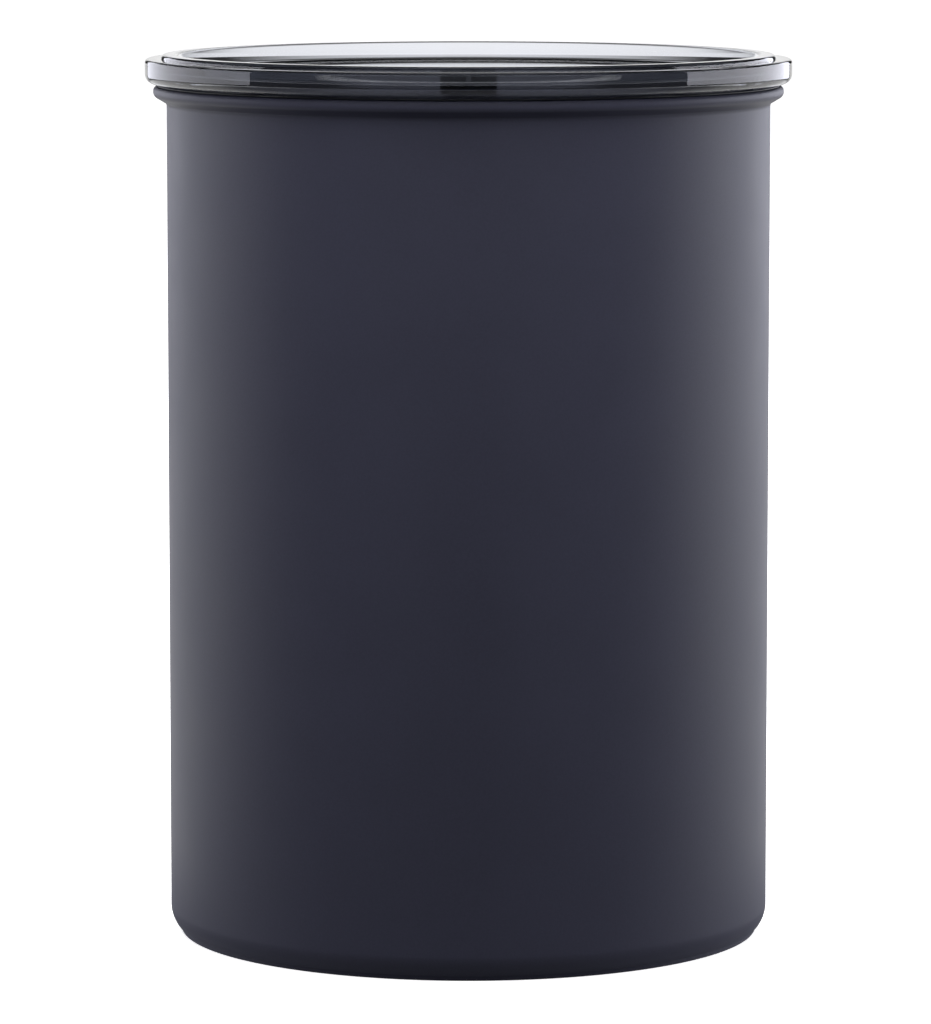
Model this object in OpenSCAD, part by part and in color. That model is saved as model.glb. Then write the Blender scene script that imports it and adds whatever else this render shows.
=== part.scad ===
// Coffee canister with an inner lid that presses the air out through a valve.
// A steel canister with a rolled lip, a clear smoke outer lid that plugs its mouth, and an
// inner lid that slides down onto the coffee. Raising the inner lid's handle turns a cam,
// which pushes the valve open against its spring.
// Millimetres. The origin is at the centre of the base and +Z is up.

/* [Canister] */
// Outside diameter of the straight wall
body_d = 122; // [96:1:160]
// Height of the lip's top above the table
canister_h = 172.1; // [140:0.1:240]
// Thickness of the steel
steel_t = 0.8; // [0.6:0.1:1.2]
// How far the rolled lip stands out from the wall
lip_w = 2.7; // [2:0.1:3.6]
// Height of the lip's upright outer face
lip_face_h = 1.1; // [0.6:0.1:2]
// Radius under the lip's outer face
lip_r = 1.3; // [0.8:0.1:1.8]
// Angle of the slope under the lip, from level
lip_slope = 30; // [20:1:45]
// Radius of the corner where the wall turns in at the base
corner_r = 6; // [5.5:0.5:8]
// Height at which the wall starts to turn in
corner_top = 5.2; // [4:0.1:5.4]

/* [Base] */
// Height of the foot ring under the wall
foot_h = 1; // [0.8:0.1:1.4]
// How far the foot ring stands in from the wall's outside
foot_inset = 2.1; // [1.9:0.1:2.4]
// Width of the flat that the canister rests on
foot_w = 4.4; // [3:0.1:8]
// Height of the base's raised panel above the table, underneath
panel_lift = 1.8; // [1:0.1:3]

/* [Outer lid] */
// How far the lid's rim stands out from the canister's wall
lid_over = 4.4; // [3.8:0.1:6]
// Gap between the lid's rim and the lip
lid_seat_gap = 0.3; // [0.2:0.05:0.5]
// Height of the rim from its underside to its outer ledge
lid_rim_h = 5.5; // [5:0.1:8]
// Width of the outer ledge
lid_ledge_w = 3.3; // [2.5:0.1:4]
// Height of the inner crest above the ledge
lid_crest_h = 0.9; // [0.6:0.1:2]
// Width of the crest, from its outer side to where its top starts to fall
lid_crest_w = 2.6; // [2:0.1:4]
// Depth of the recess below the crest
lid_recess = 3.9; // [3.4:0.1:4.2]
// Lean of the recess's side wall, from upright
lid_side_lean = 35; // [20:1:38]
// Radius where the recess's side wall meets its floor
lid_foot_r = 2; // [1:0.1:2.4]
// Thickness of the lid's clear panel
lid_panel_t = 2.2; // [1.6:0.1:2.4]
// Radius of the rim's lower outer edge
lid_edge_r = 1.9; // [1.2:0.1:2.2]
// Height of that edge's centre above the rim's underside
lid_edge_h = 2.4; // [2.3:0.1:3]
// Slope of the rim's underside, from level
lid_under_slope = 20; // [16:1:30]
// Radius of the ledge's outer edge
lid_top_r = 0.7; // [0.3:0.1:1.2]
// Radius of the crest's outer edge
lid_crest_r = 0.8; // [0.2:0.1:0.8]
// Radius of the crest's inner edge
lid_crest_in_r = 1.2; // [0.6:0.1:1.6]
// Depth of the plug inside the mouth
plug_h = 6.1; // [5.6:0.1:10]
// Thickness of the plug's wall
plug_t = 2.2; // [1.8:0.1:3]
// Gap between the plug and the canister's inside
plug_gap = 0.8; // [0.6:0.1:1.2]
// Depth of the plug's groove for the lid's gasket
lid_groove_d = 1; // [0.8:0.1:1.2]
// Height of the plug's foot, which holds that gasket
plug_foot_h = 0.8; // [0.6:0.1:1]
// Width of the gasket's flange under the rim
lid_flange_w = 3.6; // [2:0.1:3.8]
// Thickness of that flange
lid_flange_t = 2.2; // [1:0.1:2.4]

/* [Inner lid] */
// How far the inner lid's plate lies below the lip, at rest on the coffee
plate_drop = 60.1; // [60.1:0.1:75]
// Thickness of the plate
plate_t = 2.4; // [2:0.1:3.2]
// Height of the inner lid's rim wall
dish_h = 20; // [19.5:0.5:26]
// Thickness of the rim wall
dish_t = 2.2; // [1.8:0.1:3]
// Gap between the plate's edge and the canister's inside
plate_gap = 1.6; // [1.2:0.1:2]
// Depth of the groove that holds the wiper gasket, from the plate's edge
wiper_groove_d = 2.1; // [1.8:0.1:2.6]
// Height of the bead above the wiper gasket
bead_h = 1.6; // [1.2:0.1:2.4]
// Number of stiffening ribs on the plate
rib_n = 10; // [6:1:16]
// Thickness of a rib
rib_t = 1.4; // [1:0.1:2]
// Height of a rib
rib_h = 4; // [2:0.5:6]

/* [Seals] */
// Gap between each silicone lip and the steel
wipe_gap = 0.1; // [0.05:0.05:0.2]
// Thickness of the wiper gasket's sleeve
sleeve_t = 1.3; // [1:0.1:1.4]
// Thickness of a wiper lip at its root
wiper_lip_t = 1.5; // [1.2:0.1:2]
// How far a wiper lip rises from its root to its edge
wiper_lip_rise = 2.4; // [1.6:0.1:3.2]

/* [Valve] */
// How far the valve opens
valve_travel = 2.6; // [2:0.1:2.8]
// Diameter of the valve's stem
stem_d = 4; // [3.4:0.1:4.4]
// Diameter of the stem's head
head_d = 13; // [11.5:0.5:13.5]
// Thickness of the stem's head
head_t = 2; // [1.6:0.1:2.6]
// Height of the head's top above the plate while the valve is shut
head_top = 11; // [10.6:0.1:12]
// Height of the guide boss round the stem
guide_h = 3; // [2:0.1:3.4]
// Outside diameter of the guide boss
guide_d = 7.2; // [6.6:0.1:7.4]
// Diameter of the vent holes
vent_d = 4.2; // [3:0.1:4.4]
// Number of vent holes
vent_n = 6; // [4:1:8]
// Radius on which the vent holes lie
vent_pitch_r = 7.6; // [6.8:0.1:8]
// Radius of the middle of the seat ring under the plate
seat_ring_r = 11.6; // [10.9:0.1:11.8]
// Width of the seat ring
seat_ring_w = 1.2; // [0.8:0.1:1.4]
// Height of the seat ring
seat_ring_h = 0.6; // [0.4:0.1:1]
// Thickness of the silicone seal
seal_t = 1; // [0.8:0.1:1.6]
// Thickness of the disc that carries the seal
disc_t = 1.6; // [1.2:0.1:2.4]
// Height of the disc's hub
disc_hub_h = 1.2; // [0.8:0.1:2]
// Thickness of the retaining clip
clip_t = 0.6; // [0.4:0.1:0.8]

/* [Spring] */
// Diameter of the spring's wire
wire_d = 0.8; // [0.6:0.1:0.8]
// Mean diameter of the coil
coil_d = 9.2; // [9:0.1:9.8]
// Number of turns
coil_turns = 5; // [4:0.5:5.5]

/* [Handle] */
// Distance from the handle's hinge to the middle of its grip
handle_l = 32; // [27:0.5:32]
// Distance between the middles of the handle's arms
handle_w = 54; // [44:1:60]
// Diameter of the handle's bar
handle_bar_d = 7.6; // [6:0.1:8]
// Diameter of the cross bar on the hinge
cross_d = 8; // [7.6:0.1:8]
// Radius of the handle's two bends
bend_r = 9; // [7:0.5:12]
// Diameter of the grip's raised middle
grip_d = 8.8; // [8:0.1:9.4]
// Length of the grip's raised middle
grip_l = 30; // [16:1:32]
// Diameter of the hinge pins
pin_d = 3; // [2.4:0.1:3.4]
// Depth of a hinge pin in the cross bar
pin_in = 8; // [5:0.5:12]

/* [Cam] */
// Distance from the hinge to the head while the handle lies flat
cam_low = 4; // [4:0.05:4.4]
// Width of the cam
cam_w = 8; // [5:0.5:10]

/* [Bracket] */
// Thickness of the bracket's plate
bracket_t = 2.2; // [1.8:0.1:3]
// Width of the bracket's plate
bracket_w = 25; // [24:0.5:30]
// Height of the posts that carry the bracket
post_h = 5; // [4:0.1:5.4]
// Diameter of the posts
post_d = 6; // [5:0.1:6]
// Thickness of the two ears
ear_t = 3.5; // [3:0.1:5]
// Width of the two ears
ear_w = 9; // [8:0.5:12]
// Wall of the collar round the valve's head
collar_t = 1.6; // [1.2:0.1:2]
// Height of the collar above the bracket's plate
collar_h = 3.4; // [2:0.1:3.6]
// Spacing of the screws along the bracket
screw_span = 42; // [38:1:46]
// Spacing of the screws across the bracket
screw_cross = 17; // [16:0.5:17.5]
// Diameter of the screws' shanks
screw_d = 2.2; // [1.8:0.1:2.6]
// Diameter of the screws' heads
screw_head_d = 4.6; // [4:0.1:5]
// Height of the screws' heads
screw_head_h = 1.5; // [1:0.1:2]

/* [Fits] */
// Radial gap of a pin or stem that turns or slides in its bore
run_fit = 0.05; // [0.03:0.01:0.08]
// Gap round a piece that is held still in its seat
still_fit = 0.05; // [0.03:0.01:0.08]
// Gap between the cross bar's ends and the ears
side_gap = 0.5; // [0.3:0.1:0.8]
// Gap between the folded handle and its rests
rest_gap = 0.3; // [0.3:0.05:0.6]

/* [Hidden] */
$fn = 96;
// A cut runs this far past the face that it opens
cut = 1;
// A piece's parts run this far into one another
weld = 0.2;

// Canister
body_r = body_d / 2;
bore_r = body_r - steel_t;
lip_out_r = body_r + lip_w;
lip_r_z = canister_h - lip_face_h;
lip_tangent_r = lip_out_r - lip_r + lip_r * sin(lip_slope);
lip_tangent_z = lip_r_z - lip_r * cos(lip_slope);
lip_root_z = lip_tangent_z - (lip_tangent_r - body_r) * tan(lip_slope);
lip_edge = 0.25;
mouth_edge = 0.4;

// Base
foot_r = body_r - foot_inset;
panel_top = panel_lift + steel_t;
foot_in_r = foot_r - foot_w;
riser_t = 1;
foot_edge = 0.3;

// Outer lid
lid_r = body_r + lid_over;
lid_z = canister_h + lid_seat_gap;
ledge_z = lid_z + lid_rim_h;
crest_z = ledge_z + lid_crest_h;
crest_r = lid_r - lid_ledge_w;
crest_in_r = crest_r - lid_crest_w;
recess_z = crest_z - lid_recess;
side_l = (lid_recess - (lid_crest_in_r + lid_foot_r) * (1 - sin(lid_side_lean))) / cos(lid_side_lean);
side_top = [crest_in_r - lid_crest_in_r * cos(lid_side_lean),
            crest_z - lid_crest_in_r * (1 - sin(lid_side_lean))];
side_foot = side_top - side_l * [sin(lid_side_lean), cos(lid_side_lean)];
foot_c = [side_foot[0] - lid_foot_r * cos(lid_side_lean), recess_z + lid_foot_r];
edge_c = [lid_r - lid_edge_r, lid_z + lid_edge_h];
edge_tangent = [edge_c[0] + lid_edge_r * sin(lid_under_slope),
                edge_c[1] - lid_edge_r * cos(lid_under_slope)];
seat_out_r = edge_tangent[0] - (edge_tangent[1] - lid_z) / tan(lid_under_slope);
plug_r = bore_r - plug_gap;
plug_in_r = plug_r - plug_t;
plug_z = canister_h - plug_h;
lid_groove_z = plug_z + plug_foot_h;
lid_groove_r = plug_r - lid_groove_d;
flange_r = plug_r + lid_flange_w;
flange_z = lid_z + lid_flange_t;

// Inner lid
plate_z = canister_h - plate_drop;
plate_r = bore_r - plate_gap;
dish_r = plate_r - wiper_groove_d;
dish_in_r = dish_r - dish_t;
bead_r = plate_r - 0.6;
lip_edge_r = bore_r - wipe_gap;
wiper_h = dish_h - bead_h - 2 * still_fit;

// Valve, heights from the plate's top
head_z = head_top - head_t;
hinge_z = head_top + cam_low + run_fit;
seat_z = -plate_t - seat_ring_h;
seal_z = seat_z - run_fit - seal_t;
disc_z = seal_z - disc_t;
hub_z = disc_z - disc_hub_h;
clip_z = hub_z - still_fit - clip_t;
stem_end_z = clip_z - still_fit - 1;
seal_r = seat_ring_r + seat_ring_w / 2 + 0.7;
groove_r = stem_d / 2 - 0.5;
spigot_r = coil_d / 2 - wire_d / 2 - 0.3;
spigot_h = 1;

// Spring
spring_gap = 0.1;
spring_z = spring_gap;
spring_l = head_z - 2 * spring_gap;
ring_n = 12;
side_n = 6;

// Cam: an involute of a circle, so that the head moves in proportion to the handle's angle
open_angle = 90;
cam_base_r = valve_travel / (open_angle * PI / 180);
cam_start = cam_low / cam_base_r;
cam_end = cam_start + open_angle * PI / 180;
cam_spare = 0.14;
cam_steps = 26;
cam_hub_r = cam_low - 0.3;

// Handle and bracket
ear_in_x = (handle_w + handle_bar_d) / 2 + side_gap;
ear_out_x = ear_in_x + ear_t;
cross_end_x = ear_in_x - side_gap;
bracket_z = post_h;
bracket_top = bracket_z + bracket_t;
collar_in_r = head_d / 2 + 0.7;
collar_out_r = collar_in_r + collar_t;
pin_head_t = 1;
pin_head_d = pin_d + 2;
post_floor = 1;
rest_d = 5;

// Blocks the given span of height on one side of the axis, as a strip of the section
module strip(r0, r1, z0, z1) {
    translate([r0, z0]) square([r1 - r0, z1 - z0]);
}

module disc_2d(r, at) {
    translate(at) circle(r);
}

// Canister shell: a drawn tube with a rolled lip and a corner that turns in at the base
module wall_section(r, corner) {
    strip(0, r, corner_top, canister_h);
    strip(0, r - corner, foot_h, corner_top + weld);
    intersection() {
        disc_2d(corner, [r - corner, corner_top]);
        strip(0, r, foot_h, corner_top + weld);
    }
}

module lip_section() {
    polygon([
        [bore_r, lip_root_z], [body_r, lip_root_z], [lip_tangent_r, lip_tangent_z],
        [lip_out_r - lip_r, lip_r_z], [lip_out_r, lip_r_z],
        [lip_out_r, canister_h - lip_edge], [lip_out_r - lip_edge, canister_h],
        [bore_r, canister_h]
    ]);
    disc_2d(lip_r, [lip_out_r - lip_r, lip_r_z]);
}

module canister_shell() {
    color([0.16, 0.165, 0.195])
    rotate_extrude($fn = 180)
    difference() {
        union() {
            wall_section(body_r, corner_r);
            lip_section();
        }
        wall_section(bore_r, corner_r - steel_t);
        translate([0, foot_h - cut]) square([bore_r - corner_r + steel_t, 2 * cut]);
        polygon([
            [0, canister_h - mouth_edge], [bore_r, canister_h - mouth_edge],
            [bore_r + mouth_edge + cut, canister_h + cut], [0, canister_h + cut]
        ]);
    }
}

// Base pan: a pressed disc with a foot ring, welded under the shell's turned-in edge
module base_pan() {
    color([0.62, 0.62, 0.64])
    rotate_extrude($fn = 180)
    union() {
        polygon([
            [foot_in_r - riser_t, 0], [foot_r - foot_edge, 0], [foot_r, foot_edge],
            [foot_r, foot_h], [foot_in_r - riser_t, foot_h]
        ]);
        strip(foot_in_r - riser_t, foot_in_r, 0, panel_top);
        strip(0, foot_in_r - riser_t + weld, panel_lift, panel_top);
    }
}

// Outer lid: a clear panel in a thick rim, with a plug that enters the mouth
module lid_rim_section() {
    polygon([
        [plug_in_r, lid_z], [seat_out_r, lid_z], edge_tangent, edge_c,
        [lid_r, edge_c[1]], [lid_r, ledge_z - lid_top_r], [lid_r - lid_top_r, ledge_z],
        [crest_r, ledge_z], [crest_r, crest_z - lid_crest_r], [crest_r - lid_crest_r, crest_z],
        [crest_in_r, crest_z], [crest_in_r, crest_z - lid_crest_in_r], side_top, side_foot,
        [side_foot[0], recess_z - lid_panel_t], [plug_in_r, recess_z - lid_panel_t]
    ]);
    disc_2d(lid_edge_r, edge_c);
    disc_2d(lid_top_r, [lid_r - lid_top_r, ledge_z - lid_top_r]);
    disc_2d(lid_crest_r, [crest_r - lid_crest_r, crest_z - lid_crest_r]);
    disc_2d(lid_crest_in_r, [crest_in_r, crest_z - lid_crest_in_r]);
}

module outer_lid() {
    color([0.45, 0.5, 0.53, 0.5])
    rotate_extrude($fn = 180)
    difference() {
        union() {
            lid_rim_section();
            strip(0, foot_c[0] + weld, recess_z - lid_panel_t, recess_z);
            strip(plug_in_r, plug_r, plug_z, recess_z - lid_panel_t + weld);
            difference() {
                polygon([
                    [foot_c[0], recess_z - weld], [plug_r, recess_z - weld], side_top,
                    side_foot, foot_c
                ]);
                disc_2d(lid_foot_r, foot_c);
            }
        }
        strip(lid_groove_r, plug_r + cut, lid_groove_z, flange_z);
        strip(lid_groove_r, flange_r, plug_z - cut, flange_z);
    }
}

// Outer lid's gasket: a silicone sleeve in the plug's groove, with two rounded beads that
// seal in the mouth and a flange that seals between the rim and the lip
module outer_lid_gasket() {
    bead = 0.55;
    low_z = lid_groove_z + 1.2;
    high_z = canister_h - mouth_edge - 1.2;
    color([0.1, 0.1, 0.11])
    rotate_extrude($fn = 180)
    union() {
        polygon([
            [lid_groove_r + still_fit, lid_groove_z + still_fit], [plug_r, lid_groove_z + still_fit],
            [plug_r, lid_z], [flange_r - still_fit, lid_z],
            [flange_r - still_fit, flange_z - still_fit], [lid_groove_r + still_fit, flange_z - still_fit]
        ]);
        for (z = [low_z, high_z]) {
            disc_2d(bead, [lip_edge_r - bead, z]);
            strip(plug_r - weld, lip_edge_r - bead, z - bead, z + bead);
        }
    }
}

// Inner lid's plate: a dish with a groove for the wiper, the valve's seat and its vents
module dish_section() {
    strip(0, plate_r, -plate_t, 0);
    strip(dish_in_r, dish_r, -weld, dish_h);
    polygon([
        [dish_in_r, dish_h - bead_h], [bead_r, dish_h - bead_h],
        [bead_r, dish_h - bead_h / 2], [dish_r, dish_h], [dish_in_r, dish_h]
    ]);
    strip(0, guide_d / 2, -weld, guide_h);
    strip(seat_ring_r - seat_ring_w / 2, seat_ring_r + seat_ring_w / 2,
          seat_z, -plate_t + weld);
}

module at_screws() {
    for (sx = [-1, 1]) for (sy = [-1, 1])
        translate([sx * screw_span / 2, sy * screw_cross / 2, 0]) children();
}

module inner_lid_plate() {
    rib_in = 26;
    color([0.13, 0.13, 0.14])
    translate([0, 0, plate_z])
    difference() {
        union() {
            rotate_extrude($fn = 180) dish_section();
            at_screws() translate([0, 0, -weld]) cylinder(d = post_d, h = post_h + weld, $fn = 40);
            for (i = [0 : rib_n - 1])
                rotate([0, 0, (i + 0.5) * 360 / rib_n])
                translate([rib_in, -rib_t / 2, -weld])
                cube([dish_in_r - rib_in + weld, rib_t, rib_h + weld]);
            for (sx = [-1, 1])
                translate([sx * (handle_w / 2 - bend_r), -handle_l, -weld])
                cylinder(d = rest_d, h = hinge_z - handle_bar_d / 2 - rest_gap + weld, $fn = 40);
        }
        translate([0, 0, -plate_t - seat_ring_h - cut])
        cylinder(r = stem_d / 2 + run_fit, h = plate_t + seat_ring_h + guide_h + 2 * cut, $fn = 48);
        for (i = [0 : vent_n - 1])
            rotate([0, 0, i * 360 / vent_n])
            translate([vent_pitch_r, 0, -plate_t - cut])
            cylinder(d = vent_d, h = plate_t + 2 * cut, $fn = 32);
        at_screws() translate([0, 0, post_floor - plate_t])
        cylinder(r = screw_d / 2 + still_fit, h = post_h + plate_t + cut, $fn = 32);
    }
}

// Wiper gasket: a silicone sleeve in the dish's groove, with two lips that wipe the steel
module wiper_lip(z) {
    polygon([
        [dish_r + sleeve_t - weld, z], [lip_edge_r - 0.5, z + wiper_lip_rise - 0.5],
        [lip_edge_r, z + wiper_lip_rise], [lip_edge_r, z + wiper_lip_rise + 0.5],
        [lip_edge_r - 0.4, z + wiper_lip_rise + 0.5],
        [dish_r + sleeve_t - weld, z + wiper_lip_t]
    ]);
}

module wiper_gasket() {
    color([0.55, 0.56, 0.58])
    translate([0, 0, plate_z])
    rotate_extrude($fn = 180)
    union() {
        strip(dish_r + still_fit, dish_r + sleeve_t, still_fit, still_fit + wiper_h);
        wiper_lip(2);
        wiper_lip(wiper_h - wiper_lip_rise - 2.5);
    }
}

// Hinge bracket: carries the handle's two pins and shields the valve's head
module ear() {
    rotate([90, 0, 90])
    linear_extrude(ear_t)
    difference() {
        union() {
            translate([-ear_w / 2, bracket_z]) square([ear_w, hinge_z - bracket_z]);
            translate([0, hinge_z]) circle(d = ear_w, $fn = 48);
        }
        translate([0, hinge_z]) circle(r = pin_d / 2 + still_fit, $fn = 48);
    }
}

module hinge_bracket() {
    color([0.2, 0.2, 0.21])
    translate([0, 0, plate_z]) {
        difference() {
            union() {
                translate([-ear_out_x, -bracket_w / 2, bracket_z])
                cube([2 * ear_out_x, bracket_w, bracket_t]);
                translate([0, 0, bracket_z])
                cylinder(r = collar_out_r, h = bracket_t + collar_h);
            }
            translate([0, 0, bracket_z - cut])
            cylinder(r = collar_in_r, h = bracket_t + collar_h + 2 * cut);
            at_screws() translate([0, 0, bracket_z - cut])
            cylinder(r = screw_d / 2 + still_fit, h = bracket_t + 2 * cut, $fn = 32);
        }
        translate([ear_in_x, 0, 0]) ear();
        translate([-ear_out_x, 0, 0]) ear();
    }
}

// Bracket screws: four alike, with a cross recess in a rounded head
module bracket_screws() {
    recess_w = 0.7;
    recess_l = screw_head_d * 0.6;
    color([0.78, 0.78, 0.8])
    translate([0, 0, plate_z])
    at_screws()
    difference() {
        union() {
            translate([0, 0, post_floor - plate_t + still_fit + 0.5])
            cylinder(d = screw_d, h = bracket_top - post_floor + plate_t - still_fit - 0.5 + weld,
                     $fn = 32);
            translate([0, 0, bracket_top]) cylinder(d = screw_head_d, h = screw_head_h, $fn = 40);
        }
        for (turn = [0, 90])
            rotate([0, 0, turn])
            translate([-recess_l / 2, -recess_w / 2, bracket_top + screw_head_h * 0.4])
            cube([recess_l, recess_w, screw_head_h]);
    }
}

// Hinge pins: two headed pins, fixed in the ears, on which the cross bar turns
module hinge_pins() {
    color([0.8, 0.8, 0.82])
    translate([0, 0, plate_z + hinge_z])
    for (turn = [0, 180])
        rotate([0, 0, turn])
        rotate([0, 90, 0]) {
            translate([0, 0, cross_end_x - pin_in])
            cylinder(d = pin_d, h = pin_in + side_gap + ear_t + weld, $fn = 48);
            translate([0, 0, ear_out_x])
            cylinder(d = pin_head_d, h = pin_head_t, $fn = 48);
        }
}

// Handle: a bail of round bar on a cross bar, with the cam in the middle
function involute(t) = cam_base_r * [
    cos(t * 180 / PI) + t * sin(t * 180 / PI),
    sin(t * 180 / PI) - t * cos(t * 180 / PI)
];

module cam_2d() {
    first = cam_start - cam_spare;
    last = cam_end + cam_spare;
    rotate(-cam_start * 180 / PI)
    polygon(concat(
        [[0, 0]],
        [for (i = [0 : cam_steps]) involute(first + (last - first) * i / cam_steps)]
    ));
    circle(cam_hub_r, $fn = 48);
}

module bail() {
    arm_l = handle_l - bend_r;
    arm_x = handle_w / 2;
    for (side = [-1, 1]) {
        translate([side * arm_x, 0, 0]) rotate([90, 0, 0])
        cylinder(d = handle_bar_d, h = arm_l, $fn = 48);
        translate([side * (arm_x - bend_r), -arm_l, 0])
        rotate([0, 0, side > 0 ? -90 : 180])
        rotate_extrude(angle = 90, $fn = 72)
        translate([bend_r, 0]) circle(d = handle_bar_d, $fn = 48);
    }
    translate([-(arm_x - bend_r), -handle_l, 0]) rotate([0, 90, 0])
    cylinder(d = handle_bar_d, h = 2 * (arm_x - bend_r), $fn = 48);
    grip_taper = (grip_d - handle_bar_d) / 2;
    translate([0, -handle_l, 0]) rotate([0, 90, 0])
    rotate_extrude($fn = 48)
    polygon([
        [0, -grip_l / 2 - grip_taper], [handle_bar_d / 2, -grip_l / 2 - grip_taper],
        [grip_d / 2, -grip_l / 2], [grip_d / 2, grip_l / 2],
        [handle_bar_d / 2, grip_l / 2 + grip_taper], [0, grip_l / 2 + grip_taper]
    ]);
}

module pull_handle() {
    color([0.17, 0.17, 0.18])
    translate([0, 0, plate_z + hinge_z])
    difference() {
        union() {
            bail();
            translate([-cross_end_x, 0, 0]) rotate([0, 90, 0])
            cylinder(d = cross_d, h = 2 * cross_end_x, $fn = 64);
            translate([-cam_w / 2, 0, 0]) rotate([90, 0, 90])
            linear_extrude(cam_w) cam_2d();
        }
        for (turn = [0, 180])
            rotate([0, 0, turn]) rotate([0, 90, 0])
            translate([0, 0, cross_end_x - pin_in - 0.4])
            cylinder(r = pin_d / 2 + run_fit, h = pin_in + 0.4 + cut, $fn = 48);
    }
}

// Valve stem: a head that the cam presses, a spigot that centres the spring, and a shaft
module valve_stem() {
    edge = 0.4;
    color([0.85, 0.85, 0.86])
    translate([0, 0, plate_z])
    rotate_extrude()
    difference() {
        union() {
            polygon([
                [0, head_z], [head_d / 2, head_z], [head_d / 2, head_top - edge],
                [head_d / 2 - edge, head_top], [0, head_top]
            ]);
            strip(0, spigot_r, head_z - spigot_h, head_z + weld);
            strip(0, stem_d / 2, stem_end_z, head_z);
        }
        strip(groove_r, stem_d, clip_z - still_fit, clip_z + clip_t + still_fit);
    }
}

// Valve spring: one helix of round wire between the plate and the stem's head
function coil_point(turn) = let (a = turn * 360) [
    coil_d / 2 * cos(a), coil_d / 2 * sin(a),
    spring_z + wire_d / 2 + turn / coil_turns * (spring_l - wire_d)
];
coil_rings = floor(coil_turns * ring_n);
coil_path = [for (i = [0 : coil_rings]) coil_point(i / ring_n)];
coil_lead = atan((spring_l - wire_d) / coil_turns / (PI * coil_d));
function wire_point(i, j) = let (
    a = i / ring_n * 360,
    b = j / side_n * 360,
    out = [cos(a), sin(a), 0],
    up = [sin(a) * sin(coil_lead), -cos(a) * sin(coil_lead), cos(coil_lead)]
) coil_path[i] + wire_d / 2 * (cos(b) * out + sin(b) * up);
wire_rings = [for (i = [0 : coil_rings]) [for (j = [0 : side_n - 1]) wire_point(i, j)]];
coil_gap = min([for (i = [0 : coil_rings]) for (k = [i + ring_n / 2 : 1 : coil_rings])
    min([for (p = wire_rings[i]) for (q = wire_rings[k]) norm(p - q)])]);

module valve_spring() {
    last = coil_rings * side_n;
    echo(least_gap_of_the_spring_to_itself = coil_gap);
    color([0.7, 0.7, 0.72])
    translate([0, 0, plate_z])
    polyhedron(
        points = [for (ring = wire_rings) for (p = ring) p],
        faces = concat(
            [for (j = [1 : side_n - 2]) [0, j, j + 1]],
            [for (j = [1 : side_n - 2]) [last, last + j + 1, last + j]],
            [for (i = [0 : coil_rings - 1]) for (j = [0 : side_n - 1])
                let (k = (j + 1) % side_n, a = i * side_n, b = a + side_n)
                [a + j, b + k, a + k]],
            [for (i = [0 : coil_rings - 1]) for (j = [0 : side_n - 1])
                let (k = (j + 1) % side_n, a = i * side_n, b = a + side_n)
                [a + j, b + j, b + k]]
        )
    );
}

// Valve disc: carries the seal up against the seat ring
module valve_disc() {
    color([0.82, 0.82, 0.83])
    translate([0, 0, plate_z])
    rotate_extrude()
    difference() {
        union() {
            strip(0, seal_r + 0.4, disc_z, seal_z);
            strip(0, stem_d / 2 + 2.2, hub_z, disc_z + weld);
        }
        strip(0, stem_d / 2 + still_fit, hub_z - cut, seal_z + cut);
    }
}

// Valve seal: a flat silicone ring
module valve_seal() {
    color([0.6, 0.62, 0.64])
    translate([0, 0, plate_z])
    rotate_extrude()
    strip(stem_d / 2 + still_fit, seal_r, seal_z, seal_z + seal_t);
}

// Stem clip: a spring steel clip, open on one side, in the stem's groove
module stem_clip() {
    clip_r = stem_d / 2 + 1.6;
    slot_w = 2 * groove_r - 0.3;
    color([0.7, 0.7, 0.72])
    translate([0, 0, plate_z + clip_z])
    difference() {
        cylinder(r = clip_r, h = clip_t, $fn = 48);
        translate([0, 0, -cut]) cylinder(r = groove_r + still_fit, h = clip_t + 2 * cut, $fn = 48);
        translate([0, -slot_w / 2, -cut]) cube([clip_r + cut, slot_w, clip_t + 2 * cut]);
    }
}

canister_shell();
base_pan();
outer_lid();
outer_lid_gasket();
inner_lid_plate();
wiper_gasket();
hinge_bracket();
bracket_screws();
hinge_pins();
pull_handle();
valve_stem();
valve_spring();
valve_disc();
valve_seal();
stem_clip();
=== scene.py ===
"""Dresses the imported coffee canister: its pieces, finishes, floor, lamps and camera.

Every length is in metres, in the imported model's own frame, with +Z up and the base at 0.
"""

import math

import bpy
import numpy as np
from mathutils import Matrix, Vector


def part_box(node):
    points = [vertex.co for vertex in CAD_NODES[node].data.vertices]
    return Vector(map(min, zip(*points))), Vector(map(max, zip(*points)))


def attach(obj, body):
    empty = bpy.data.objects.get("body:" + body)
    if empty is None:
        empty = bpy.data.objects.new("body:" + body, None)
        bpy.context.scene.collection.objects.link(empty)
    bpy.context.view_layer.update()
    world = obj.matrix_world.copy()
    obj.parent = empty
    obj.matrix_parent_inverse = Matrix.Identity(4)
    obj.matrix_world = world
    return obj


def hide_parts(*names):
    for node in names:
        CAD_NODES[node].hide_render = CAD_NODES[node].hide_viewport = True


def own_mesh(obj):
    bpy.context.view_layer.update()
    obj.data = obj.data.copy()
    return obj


bl_info = {
    "name": "Coffee canister",
    "version": (1, 0, 0),
    "blender": (4, 5, 0),
    "location": "3D View > Sidebar > Canister",
    "description": "Pieces, finishes and studio for a coffee canister with a valve",
    "category": "Object",
}

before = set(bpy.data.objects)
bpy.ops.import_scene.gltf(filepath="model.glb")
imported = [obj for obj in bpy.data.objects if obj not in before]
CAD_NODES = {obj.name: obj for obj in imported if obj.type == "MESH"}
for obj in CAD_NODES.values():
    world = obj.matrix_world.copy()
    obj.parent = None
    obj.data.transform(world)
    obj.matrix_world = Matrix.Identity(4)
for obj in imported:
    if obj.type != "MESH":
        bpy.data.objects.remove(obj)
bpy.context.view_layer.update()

MM = 0.001
TURN = 2 * math.pi

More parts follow.
